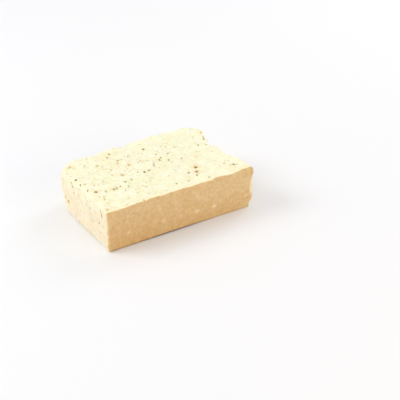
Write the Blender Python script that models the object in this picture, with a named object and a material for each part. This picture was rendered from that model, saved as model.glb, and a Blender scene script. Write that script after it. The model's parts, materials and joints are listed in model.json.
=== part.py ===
"""A block of firm tofu: one solid, with a flat cut front, soft rolled outer edges, a torn right end
and open pits.

Metres, +Z up. The origin lies under the middle of the block, on the surface that it rests on. X runs
along the block from its left end to its right end, and Y from the cut front to the back.
"""

import math
import random

import bmesh
import bpy
from mathutils import Matrix, Vector, noise

MM = 0.001
QUARTER_TURN = math.pi / 2

# Driving dimensions: the outside of the finished block.
LENGTH = 137 * MM
DEPTH = 90 * MM
HEIGHT = 38 * MM

# The plain block, before its ends swell out to the full length.
LEFT = -LENGTH / 2 + 0.7 * MM
RIGHT = LENGTH / 2 - 4 * MM
FRONT = -DEPTH / 2
BACK = DEPTH / 2
FOOT = 0.0
TOP = HEIGHT
EXTENT = ((LEFT, RIGHT), (FRONT, BACK), (FOOT, TOP))

# Each face: its axis, the side of the block that it is on, and its plane.
FACES = {
    "left": (0, -1, LEFT),
    "right": (0, 1, RIGHT),
    "front": (1, -1, FRONT),
    "back": (1, 1, BACK),
    "foot": (2, -1, FOOT),
    "top": (2, 1, TOP),
}

# How round the top and foot edges are, at the low and the high end of each side.
TOP_ROUNDS = {
    "left": (2.5 * MM, 7.0 * MM),
    "right": (1.0 * MM, 5.0 * MM),
    "front": (0.7 * MM, 0.7 * MM),
    "back": (5.0 * MM, 2.5 * MM),
}
FOOT_ROUNDS = {
    "left": (1.2 * MM, 2.5 * MM),
    "right": (1.2 * MM, 1.5 * MM),
    "front": (0.5 * MM, 0.5 * MM),
    "back": (1.5 * MM, 1.5 * MM),
}
LEVELS = (("top", TOP_ROUNDS), ("foot", FOOT_ROUNDS))

# The wide upright corners: two sides, a radius, and how much rounder the top is in mid corner.
WIDE_CORNERS = (
    ("left", "back", 16 * MM, 5 * MM),
    ("right", "back", 13 * MM, 0.5 * MM),
)
LEFT_FRONT_ROUND = 0.8 * MM

# The right front corner is crisp at its top and foot, and worn round between.
RIGHT_FRONT_ROUND = (1.0 * MM, 4.5 * MM)
WORN_Z = 18 * MM
WORN_HEIGHT = 10 * MM

# The torn right end: how far its top edge stands out or falls back, at places along Y.
TORN_END = (
    (-44 * MM, 2.2 * MM),
    (-35 * MM, 1.6 * MM),
    (-24 * MM, 0.9 * MM),
    (-16 * MM, -2.4 * MM),
    (-3 * MM, -2.5 * MM),
    (9 * MM, -6.0 * MM),
    (17 * MM, -0.9 * MM),
    (30 * MM, 2.4 * MM),
    (45 * MM, 1.5 * MM),
)
TORN_REACH = 45 * MM         # how far into the block the shift of the end fades out
TORN_SHARE_AT_FOOT = 0.4     # the foot of the end follows the tear less than its top does

# The right end bulges at mid height beside the cut, and the cut left a lip above the bulge.
BULGE_OUT = 3.2 * MM
BULGE_DEPTH = 24 * MM
LIP_OUT = 1.9 * MM
LIP_Z = 33 * MM
LIP_HEIGHT = 3.2 * MM
LIP_DEPTH = 5 * MM

# The left end leans in at its foot beside the cut, and swells a little towards the back.
LEAN_IN = 1.8 * MM
LEAN_DEPTH = 28 * MM
SWELL_OUT = 0.5 * MM
SWELL_Z = 19 * MM
SWELL_HEIGHT = 13 * MM

# Unevenness: wavelength and depth of the slow waves and of the fine ones, and their share on the
# top and on the cut front.
WAVE_SEED = 7
SLOW_WAVE = 26 * MM
SLOW_DEPTH = 1.3 * MM
FINE_WAVE = 8 * MM
FINE_DEPTH = 0.6 * MM
TOP_SHARE = 0.4
CUT_SHARE = 0.2
CUT_REACH = 9 * MM
STEADY_SHARE = 0.3           # the share of the height over which the waves grow from nothing

# The grid that carries the form: its pitch on the open faces and in the bands along the edges.
PITCH = 4.8 * MM
EDGE_PITCH = 1.7 * MM
EDGE_BAND = 7 * MM
CUT_BAND = 5 * MM
FOOT_BAND = 2 * MM

# The main pits in the top: X, Y and radius. A chain of them runs from the left end to the back.
TOP_PITS = (
    (-65 * MM, 11 * MM, 1.0 * MM),
    (-64 * MM, -8 * MM, 1.1 * MM),
    (-60 * MM, -15 * MM, 1.3 * MM),
    (-53 * MM, -17 * MM, 1.0 * MM),
    (-45 * MM, -17 * MM, 1.2 * MM),
    (-34 * MM, -19 * MM, 1.3 * MM),
    (-27 * MM, -11 * MM, 1.1 * MM),
    (-12 * MM, -6 * MM, 1.2 * MM),
    (0 * MM, 0 * MM, 1.4 * MM),
    (8 * MM, 5 * MM, 1.2 * MM),
    (11 * MM, 8 * MM, 1.2 * MM),
    (15 * MM, 2 * MM, 1.0 * MM),
    (20 * MM, 11 * MM, 1.0 * MM),
    (5 * MM, 27 * MM, 1.2 * MM),
    (-23 * MM, 34 * MM, 1.2 * MM),
    (-27 * MM, 30 * MM, 1.2 * MM),
    (-18 * MM, 11 * MM, 1.3 * MM),
    (-40 * MM, 23 * MM, 1.1 * MM),
    (27 * MM, -22 * MM, 1.7 * MM),
    (24 * MM, -28 * MM, 1.9 * MM),
    (18 * MM, -26 * MM, 1.2 * MM),
    (48 * MM, 9 * MM, 1.1 * MM),
    (50 * MM, -28 * MM, 1.4 * MM),
    (28 * MM, -41 * MM, 1.0 * MM),
)

# The cracks: where each opens, its reach along, across and down, and its turn about Z in degrees.
CRACKS = (
    ((LEFT, -34 * MM, 30 * MM), (1.9 * MM, 0.8 * MM, 3.8 * MM), 0),
    ((57 * MM, 15 * MM, TOP), (3.6 * MM, 0.8 * MM, 3.0 * MM), 58),
    ((61 * MM, 27 * MM, TOP), (3.0 * MM, 0.8 * MM, 2.6 * MM), 58),
    ((56 * MM, -34 * MM, TOP), (2.4 * MM, 0.7 * MM, 1.2 * MM), -32),
)

# The smaller pits, drawn by a seeded rule: how many open in the top and in the left end.
PIT_SEED = 11
SMALL_TOP_PITS = 20
SMALL_END_PITS = 9
SMALL_PIT_RADIUS = (0.75 * MM, 1.05 * MM)
PIT_STRETCH = (0.8, 1.2)
PIT_CLEARANCE = 2.8 * MM
PIT_MARGIN = 6 * MM

COLOUR = (0.855, 0.735, 0.505, 1.0)
ROUGHNESS = 0.55


def blend(low, high, share):
    """The value that lies the given share of the way from low to high."""
    return low + (high - low) * share


def ease(value, start, end):
    """A smooth step from 0 at start to 1 at end."""
    share = min(max((value - start) / (end - start), 0.0), 1.0)
    return share * share * (3 - 2 * share)


def hump(distance, reach):
    """1 in the middle, falling smoothly away over the reach."""
    return math.exp(-((distance / reach) ** 2))


def inset_from(point, face):
    """How far a point lies inside a face."""
    axis, side, plane = FACES[face]
    return side * (plane - point[axis])


def set_inset(point, face, inset):
    """Move a point to lie this far inside a face."""
    axis, side, plane = FACES[face]
    point[axis] = plane - side * inset


def rolled(inset_a, inset_b, radius):
    """The insets of a point from two faces, once the edge between them is a round."""
    reach_a = radius - inset_a
    reach_b = radius - inset_b
    if reach_a <= 0 or reach_b <= 0:
        return inset_a, inset_b
    shrink = max(reach_a, reach_b) / math.hypot(reach_a, reach_b)
    return radius - reach_a * shrink, radius - reach_b * shrink


def roll_edge(point, face_a, face_b, radius):
    """Move a point near the edge between two faces, so that the edge becomes a round."""
    inset_a, inset_b = rolled(inset_from(point, face_a), inset_from(point, face_b), radius)
    set_inset(point, face_a, inset_a)
    set_inset(point, face_b, inset_b)


def level_radius(rounds, side, point):
    """The radius of a side's top or foot edge, at the point's place along it."""
    along = 1 - FACES[side][0]
    low, high = EXTENT[along]
    return blend(*rounds[side], (point[along] - low) / (high - low))


def roll_wide_corner(point, side, end, radius, top_extra):
    """Round an upright corner with its top and foot edges, and say whether the point is in it."""
    reach_side = radius - inset_from(point, side)
    reach_end = radius - inset_from(point, end)
    if reach_side <= 0 or reach_end <= 0:
        return False
    turn = math.atan2(reach_end, reach_side)
    share = turn / QUARTER_TURN
    inset = radius - max(reach_side, reach_end)
    for level, rounds in LEVELS:
        level_round = blend(level_radius(rounds, side, point), level_radius(rounds, end, point), share)
        if level == "top":
            level_round += top_extra * math.sin(2 * turn)
        inset, level_inset = rolled(inset, inset_from(point, level), level_round)
        set_inset(point, level, level_inset)
    set_inset(point, side, radius - (radius - inset) * math.cos(turn))
    set_inset(point, end, radius - (radius - inset) * math.sin(turn))
    return True


def round_edges(point):
    """Roll every edge of the plain block."""
    if any(roll_wide_corner(point, *corner) for corner in WIDE_CORNERS):
        return
    for side in TOP_ROUNDS:
        for level, rounds in LEVELS:
            roll_edge(point, side, level, level_radius(rounds, side, point))
    roll_edge(point, "left", "front", LEFT_FRONT_ROUND)
    roll_edge(point, "right", "front", blend(*RIGHT_FRONT_ROUND, hump(point.z - WORN_Z, WORN_HEIGHT)))


def torn_offset(y):
    """How far the torn end stands out at this place along Y, eased between the named places."""
    for (low_y, low_x), (high_y, high_x) in zip(TORN_END, TORN_END[1:]):
        if y <= high_y:
            return blend(low_x, high_x, ease(y, low_y, high_y))
    return TORN_END[-1][1]


def shift_ends(point):
    """Tear and bulge the right end and add its lip, and lean and swell the left end."""
    height = (point.z - FOOT) / HEIGHT
    from_cut = point.y - FRONT
    towards_back = ease(point.y, FRONT, BACK)
    torn = torn_offset(point.y) * blend(TORN_SHARE_AT_FOOT, 1.0, height)
    bulge = BULGE_OUT * hump(point.z - WORN_Z, WORN_HEIGHT) * hump(from_cut, BULGE_DEPTH)
    lip = LIP_OUT * hump(point.z - LIP_Z, LIP_HEIGHT) * hump(from_cut, LIP_DEPTH)
    swell = SWELL_OUT * hump(point.z - SWELL_Z, SWELL_HEIGHT) * towards_back
    lean = LEAN_IN * (1 - height) * hump(from_cut, LEAN_DEPTH)
    point.x += ease(point.x, RIGHT - TORN_REACH, RIGHT) * (torn + bulge + lip)
    point.x += (1 - ease(point.x, LEFT, LEFT + TORN_REACH)) * (lean - swell)


def roughen(point):
    """Uneven faces: slow and fine waves, shallow on the flat cut front, none at all on the foot."""
    height = (point.z - FOOT) / HEIGHT
    wave = noise.noise_vector(point / SLOW_WAVE) * SLOW_DEPTH
    wave += noise.noise_vector(point / FINE_WAVE) * FINE_DEPTH
    on_cut = 1 - ease(point.y, FRONT, FRONT + CUT_REACH)
    wave.y *= blend(1.0, CUT_SHARE, on_cut)
    wave.z *= TOP_SHARE
    point += wave * ease(height, 0.0, STEADY_SHARE)


def shaped(place):
    """The place on the finished block of a place on the plain one."""
    point = Vector(place)
    round_edges(point)
    shift_ends(point)
    roughen(point)
    return point


def grid_cuts(extent, low_band, high_band):
    """Places along an axis: close together in the bands at its two ends, wider between."""
    low, high = extent
    stretches = (
        (low, low + low_band, EDGE_PITCH),
        (low + low_band, high - high_band, PITCH),
        (high - high_band, high, EDGE_PITCH),
    )
    places = []
    for start, end, pitch in stretches:
        steps = max(1, round((end - start) / pitch))
        places += [blend(start, end, step / steps) for step in range(steps)]
    return places[1:]


def new_collection(name):
    """A collection of the given name, linked to the scene."""
    collection = bpy.data.collections.new(name)
    bpy.context.scene.collection.children.link(collection)
    return collection


def tofu_material():
    """Pale cream bean curd, softly dull."""
    material = bpy.data.materials.new("firm_tofu")
    material.use_nodes = True
    shader = material.node_tree.nodes["Principled BSDF"]
    shader.inputs["Base Color"].default_value = COLOUR
    shader.inputs["Roughness"].default_value = ROUGHNESS
    shader.inputs["Metallic"].default_value = 0.0
    return material


def make_block(collection):
    """The block itself: a box, cut into a grid and carried to its finished form."""
    bm = bmesh.new()
    bmesh.ops.create_cube(bm, size=1.0)
    size = Vector([high - low for low, high in EXTENT])
    middle = Vector([(high + low) / 2 for low, high in EXTENT])
    bmesh.ops.transform(bm, matrix=Matrix.LocRotScale(middle, None, size), verts=bm.verts)
    cuts = (
        (Vector((1, 0, 0)), grid_cuts(EXTENT[0], EDGE_BAND, EDGE_BAND)),
        (Vector((0, 1, 0)), grid_cuts(EXTENT[1], CUT_BAND, EDGE_BAND)),
        (Vector((0, 0, 1)), grid_cuts(EXTENT[2], FOOT_BAND, EDGE_BAND)),
    )
    for normal, places in cuts:
        for place in places:
            geometry = bm.verts[:] + bm.edges[:] + bm.faces[:]
            bmesh.ops.bisect_plane(bm, geom=geometry, plane_co=normal * place, plane_no=normal)
    for vert in bm.verts:
        vert.co = shaped(vert.co)
    flat_foot = [face for face in bm.faces if all(vert.co.z <= FOOT for vert in face.verts)]
    bmesh.ops.dissolve_faces(bm, faces=flat_foot)
    bmesh.ops.triangulate(bm, faces=[face for face in bm.faces if len(face.verts) == 4])
    bmesh.ops.recalc_face_normals(bm, faces=bm.faces)
    mesh = bpy.data.meshes.new("tofu_block")
    bm.to_mesh(mesh)
    bm.free()
    mesh.materials.append(tofu_material())
    block = bpy.data.objects.new("tofu_block", mesh)
    collection.objects.link(block)
    return block


def add_cutter(collection, place, reach, turn):
    """A small rounded cutter: a ball stretched to the given reach, then turned about Z."""
    bm = bmesh.new()
    bmesh.ops.create_icosphere(bm, subdivisions=1, radius=1.0)
    stretch = Matrix.LocRotScale(None, None, Vector(reach))
    spin = Matrix.Rotation(turn, 4, "Z")
    bmesh.ops.transform(bm, matrix=Matrix.Translation(place) @ spin @ stretch, verts=bm.verts)
    mesh = bpy.data.meshes.new("pit")
    bm.to_mesh(mesh)
    bm.free()
    cutter = bpy.data.objects.new("pit", mesh)
    cutter.hide_render = True
    cutter.display_type = "WIRE"
    collection.objects.link(cutter)


def small_pits(rng, taken, count, plane, spans):
    """Small pits spread at random over the plane of one face, clear of those already there."""
    pits = []
    while len(pits) < count:
        place = Vector([plane if span is None else rng.uniform(*span) for span in spans])
        if all((place - other).length > PIT_CLEARANCE for other in taken):
            taken.append(place)
            pits.append((place, rng.uniform(*SMALL_PIT_RADIUS)))
    return pits


def make_cutters(collection):
    """All the pits and cracks, each a cutter of its own."""
    rng = random.Random(PIT_SEED)
    pits = [(Vector((x, y, TOP)), radius) for x, y, radius in TOP_PITS]
    taken = [place for place, _ in pits] + [Vector(place) for place, _, _ in CRACKS]
    along = (LEFT + PIT_MARGIN, RIGHT - 2 * PIT_MARGIN)
    across = (FRONT + PIT_MARGIN, BACK - 2 * PIT_MARGIN)
    upright = (FOOT + PIT_MARGIN, TOP - PIT_MARGIN)
    pits += small_pits(rng, taken, SMALL_TOP_PITS, TOP, (along, across, None))
    pits += small_pits(rng, taken, SMALL_END_PITS, LEFT, (None, across, upright))
    for place, radius in pits:
        reach = [radius * rng.uniform(*PIT_STRETCH) for _ in range(3)]
        add_cutter(collection, shaped(place), reach, rng.uniform(0, math.tau))
    for place, reach, degrees in CRACKS:
        add_cutter(collection, shaped(place), reach, math.radians(degrees))


def cut_pits(block, cutters):
    """Cut every pit in one step, then remove the cutters."""
    modifier = block.modifiers.new("pits", "BOOLEAN")
    modifier.operation = "DIFFERENCE"
    modifier.operand_type = "COLLECTION"
    modifier.collection = cutters
    modifier.solver = "EXACT"
    with bpy.context.temp_override(object=block, active_object=block):
        bpy.ops.object.modifier_apply(modifier=modifier.name)
    for cutter in list(cutters.objects):
        bpy.data.objects.remove(cutter)
    bpy.data.collections.remove(cutters)


def fit_to_size(block):
    """Bring the finished block to its driving dimensions, its foot on the ground."""
    corners = [[vert.co[axis] for vert in block.data.vertices] for axis in range(3)]
    low = Vector([min(values) for values in corners])
    high = Vector([max(values) for values in corners])
    wanted = Vector((LENGTH, DEPTH, HEIGHT))
    scale = Vector([wanted[axis] / (high[axis] - low[axis]) for axis in range(3)])
    foot_centre = Vector(((low.x + high.x) / 2, (low.y + high.y) / 2, low.z))
    block.data.transform(Matrix.LocRotScale(None, None, scale) @ Matrix.Translation(-foot_centre))


def main():
    for old in list(bpy.data.objects):
        bpy.data.objects.remove(old)
    noise.seed_set(WAVE_SEED)
    tofu = new_collection("tofu")
    cutters = new_collection("cutters")
    block = make_block(tofu)
    make_cutters(cutters)
    cut_pits(block, cutters)
    fit_to_size(block)


main()
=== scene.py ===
"""The dressed tofu block: the solid's form at a fine grain, with its pores, cracks, curds and skin.

Metres, in the solid's own frame: X runs along the block from its left end to its torn right end, Y
from the cut front to the back, and +Z up from the surface that it rests on.
"""

import collections
import json
import math
import random

import bmesh
import bpy
from mathutils import Matrix, Vector, kdtree, noise

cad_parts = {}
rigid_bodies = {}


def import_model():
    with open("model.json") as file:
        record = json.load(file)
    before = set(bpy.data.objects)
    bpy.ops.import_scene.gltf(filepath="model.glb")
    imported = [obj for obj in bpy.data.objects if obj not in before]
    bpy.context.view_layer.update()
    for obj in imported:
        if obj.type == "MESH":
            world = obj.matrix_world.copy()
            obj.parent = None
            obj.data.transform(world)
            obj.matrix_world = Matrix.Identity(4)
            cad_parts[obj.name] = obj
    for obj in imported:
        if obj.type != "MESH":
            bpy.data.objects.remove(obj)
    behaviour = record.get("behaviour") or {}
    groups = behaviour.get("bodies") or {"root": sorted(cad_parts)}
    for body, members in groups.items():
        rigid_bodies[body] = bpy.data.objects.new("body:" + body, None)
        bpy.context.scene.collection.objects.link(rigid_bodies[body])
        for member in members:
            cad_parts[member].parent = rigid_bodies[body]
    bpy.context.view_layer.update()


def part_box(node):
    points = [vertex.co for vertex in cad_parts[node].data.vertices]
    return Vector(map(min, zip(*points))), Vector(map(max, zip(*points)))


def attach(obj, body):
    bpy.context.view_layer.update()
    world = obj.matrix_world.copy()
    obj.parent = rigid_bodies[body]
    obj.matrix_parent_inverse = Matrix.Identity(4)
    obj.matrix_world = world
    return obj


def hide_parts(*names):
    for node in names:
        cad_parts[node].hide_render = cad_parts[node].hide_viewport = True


MM = 0.001
TOUCH = 0.001 * MM  # how far off a face a place may be and still count as lying in it
QUARTER_TURN = math.pi / 2

# ----------------------------------------
# The form, as in the solid.

LENGTH = 137 * MM
DEPTH = 90 * MM
HEIGHT = 38 * MM
LEFT_ROOM = 0.7 * MM  # how much of the length is left for what stands out past a plain end
RIGHT_ROOM = 4 * MM

LEFT = -LENGTH / 2 + LEFT_ROOM
RIGHT = LENGTH / 2 - RIGHT_ROOM
FRONT = -DEPTH / 2
BACK = DEPTH / 2
FOOT = 0.0
TOP = HEIGHT
EXTENT = ((LEFT, RIGHT), (FRONT, BACK), (FOOT, TOP))

# Each face: its axis, the side of the block that it is on, and its plane.
FACES = {
    "left": (0, -1, LEFT),
    "right": (0, 1, RIGHT),
    "front": (1, -1, FRONT),
    "back": (1, 1, BACK),
    "foot": (2, -1, FOOT),
    "top": (2, 1, TOP),
}

# How round the top and foot edges are, at the low and the high end of each side.
TOP_ROUNDS = {
    "left": (2.5 * MM, 7.0 * MM),
    "right": (1.0 * MM, 5.0 * MM),
    "front": (0.7 * MM, 0.7 * MM),
    "back": (5.0 * MM, 2.5 * MM),
}
FOOT_ROUNDS = {
    "left": (1.2 * MM, 2.5 * MM),
    "right": (1.2 * MM, 1.5 * MM),
    "front": (0.5 * MM, 0.5 * MM),
    "back": (1.5 * MM, 1.5 * MM),
}
LEVELS = (("top", TOP_ROUNDS), ("foot", FOOT_ROUNDS))

# The wide upright corners: two sides, a radius, and how much rounder the top is in mid corner.
WIDE_CORNERS = (
    ("left", "back", 16 * MM, 5 * MM),
    ("right", "back", 13 * MM, 0.5 * MM),
)
LEFT_FRONT_ROUND = 0.8 * MM

# The right front corner is crisp at its top and foot, and worn round between.
RIGHT_FRONT_ROUND = (1.0 * MM, 4.5 * MM)
WORN_Z = 18 * MM
WORN_HEIGHT = 10 * MM

# The torn right end: how far its top edge stands out or falls back, at places along Y. The shift
# of an end fades out over the reach.
TORN_END = (
    (-44 * MM, 2.2 * MM), (-35 * MM, 1.6 * MM), (-24 * MM, 0.9 * MM), (-16 * MM, -2.4 * MM),
    (-3 * MM, -2.5 * MM), (9 * MM, -6 * MM), (17 * MM, -0.9 * MM), (30 * MM, 2.4 * MM),
    (45 * MM, 1.5 * MM),
)
TORN_REACH = 45 * MM
TORN_SHARE_AT_FOOT = 0.4

# The right end bulges at mid height beside the cut, and the cut left a lip above the bulge.
BULGE_OUT = 3.2 * MM
BULGE_DEPTH = 24 * MM
LIP_OUT = 1.9 * MM
LIP_Z = 33 * MM
LIP_HEIGHT = 3.2 * MM
LIP_DEPTH = 5 * MM

# The left end leans in at its foot beside the cut, and swells a little towards the back.
LEAN_IN = 1.8 * MM
LEAN_DEPTH = 28 * MM
SWELL_OUT = 0.5 * MM
SWELL_Z = 19 * MM
SWELL_HEIGHT = 13 * MM

# Unevenness: wavelength and depth of the slow waves and of the fine ones, and their share on the
# top and on the cut front. They grow from the flat foot over a share of the height.
WAVE_SEED = 7
SLOW_WAVE = 26 * MM
SLOW_DEPTH = 1.3 * MM
FINE_WAVE = 8 * MM
FINE_DEPTH = 0.6 * MM
TOP_SHARE = 0.4
CUT_SHARE = 0.2
CUT_REACH = 9 * MM
STEADY_SHARE = 0.3

# ----------------------------------------
# The grain, finer than the solid's.

# The lattice that carries the skin: fine along the edges, growing to a steady pitch.
FINEST_PITCH = 0.28 * MM
PITCH = 0.90 * MM
PITCH_GROWTH = 1.22

# Relief of the skin: wavelength and depth of each layer.
SKIN_LAYERS = ((5.0 * MM, 0.10 * MM), (2.4 * MM, 0.07 * MM))
TORN_LAYERS = ((9.0 * MM, 0.55 * MM), (3.6 * MM, 0.30 * MM), (1.8 * MM, 0.12 * MM))
TORN_BAND = 6 * MM

# Creases between the broken curds of the torn end: the size of the curds and the depth of the
# creases of each layer, how wide the creases are as a share of a curd, how they are bent, and how
# far from the end's top and front edges they set in.
CREASE_LAYERS = ((8.5 * MM, 1.5 * MM), (4.0 * MM, 0.8 * MM))
CREASE_WIDTH = 0.5
BEND_WAVE = 5 * MM
BEND_DEPTH = 2.5 * MM
CREASE_EDGE = 6 * MM

# The front's top edge is ragged, with nicks at these places along X: width and depth.
RAGGED_WAVES = ((6.0 * MM, 0.22 * MM), (2.2 * MM, 0.12 * MM))
RAGGED_BAND = 1.3 * MM
EDGE_NICKS = (
    (-33.5 * MM, 1.6 * MM, 0.9 * MM),
    (-45.5 * MM, 1.2 * MM, 0.3 * MM),
    (29.0 * MM, 1.5 * MM, 0.5 * MM),
)

# How the cut's edges wander off their plain lines (all mm). A rise of the top edge is made by
# setting it back, a fall by lowering it.
TOP_EDGE_LINE = (
    (-69, -0.2), (-61, -0.6), (-50, -0.6), (-46.5, -0.1), (-40, 0.3), (-36, 0), (-32, -0.2),
    (-30, 0.4), (-27, 0.9), (-22.5, 0.5), (-17, -0.3), (-13, 0), (-10.5, 0.5), (-7, 0), (1, 0.2),
    (4, -0.15), (8, -0.8), (12, -0.3), (15, -0.5), (19, -0.2), (24, -0.5), (28.5, -0.5), (31, 0.6),
    (34, 0.8), (38, 0), (42, -0.8), (46, -1.1), (51, -0.7), (54, 0.1), (56.5, 0.4), (59, 0.1),
    (61.5, 0.6), (62.8, 0.5), (64.5, -0.2),
)
SET_BACK = 1.37  # how far back a rise sets the edge, for each part of the rise
LEFT_EDGE_LINE = (
    (0, 1), (3.3, 1.8), (5.5, 2.6), (9, 2), (12.7, 1.5), (15, 0.5), (18, 1.3), (22, 0.8),
    (26, 0.6), (30.5, 1.2), (34, 1.2), (38, 1.5),
)
RIGHT_EDGE_LINE = (
    (0, -0.1), (2, -0.8), (3.7, -0.5), (5.3, 0.4), (6.9, 1.3), (8.7, 1.2), (11, 0.8), (14, 0.6),
    (17, 0.6), (24, 0.8), (26, 1.2), (28.5, 1.5), (31, 1.7), (32.5, 2.2), (34.5, 1.8), (36, 1.9),
    (38, 1.2),
)
EDGE_BAND = 5 * MM

# The cut stands off the surface a little along its middle, so its foot is tucked in there:
# places along X, and how far (all mm). The tuck fades out between two heights.
FOOT_TUCK = ((-31, 0), (-27, 1.6), (14, 1.6), (22, 0))
TUCK_HEIGHTS = (0.2 * MM, 0.5 * MM)

# Painted contact shadow along the foot: how dark it is at places along X in the cut, and along Y
# in the left end (mm). It fades out between two heights.
CUT_CONTACT_SHADOW = (
    (-68, 0.3), (-62, 0.5), (-57, 0.3), (-45, 0.5), (-32, 0.7), (-25, 1), (4, 1), (10, 0.75),
    (18, 0.5), (28, 0.15), (60, 0.1),
)
END_CONTACT_SHADOW = ((-30, 0), (-22, 0.12), (0, 0.12), (6, 0.2), (12, 0))
CONTACT_SHADOW_HEIGHTS = (0.9 * MM, 1.7 * MM)

# How far the back's top edge dips at places along X (all mm).
BACK_EDGE_LINE = (
    (-60, 0), (-46, 0.6), (-40, 0.3), (-34, 2.8), (-30, 0.6), (-20, 0), (-15, -0.5), (-11.5, 0.8),
    (-7, 3.1), (-4.5, 2), (-1.5, -0.3), (9, -0.4), (14, -0.2), (18.5, -1.7), (27, -0.3),
    (35, -0.4), (42, 0.3), (47.5, 0.8), (51, -0.3), (57, 0.9), (64.5, 1.5),
)
BACK_BAND = 6 * MM

# The left back corner's line: how far it stands out on the slant, at places along Z (all mm).
CORNER_LINE = (
    (0, -2.4), (3, -2), (8, -0.8), (12, 0), (18, 0.4), (24, 0.8), (30, 0.6), (35, 1.4), (38, 1.8),
)
CORNER_BAND = 16 * MM
SLANT = math.sqrt(0.5)  # the share of a slanting move that goes along X, and along Y

# The torn end falls back further than the solid's does, at places along Y: how far at its top
# edge, and how much further below it (all mm). The further fall sets in between two depths below
# the edge, and the whole fall fades out over the reach.
TORN_FALL = ((-10, 0), (0, 0.2), (7, 0.3), (13, 1), (20, 2.2), (27, 1.6), (32, 0.5), (36, 0))
TORN_FALL_BELOW = ((-10, 0), (0, 1), (7, 2), (13, 2.5), (20, 2), (27, 1.5), (34, 1), (42, 0))
TORN_FALL_DEPTHS = (1 * MM, 8 * MM)
TORN_FALL_REACH = 22 * MM
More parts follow.
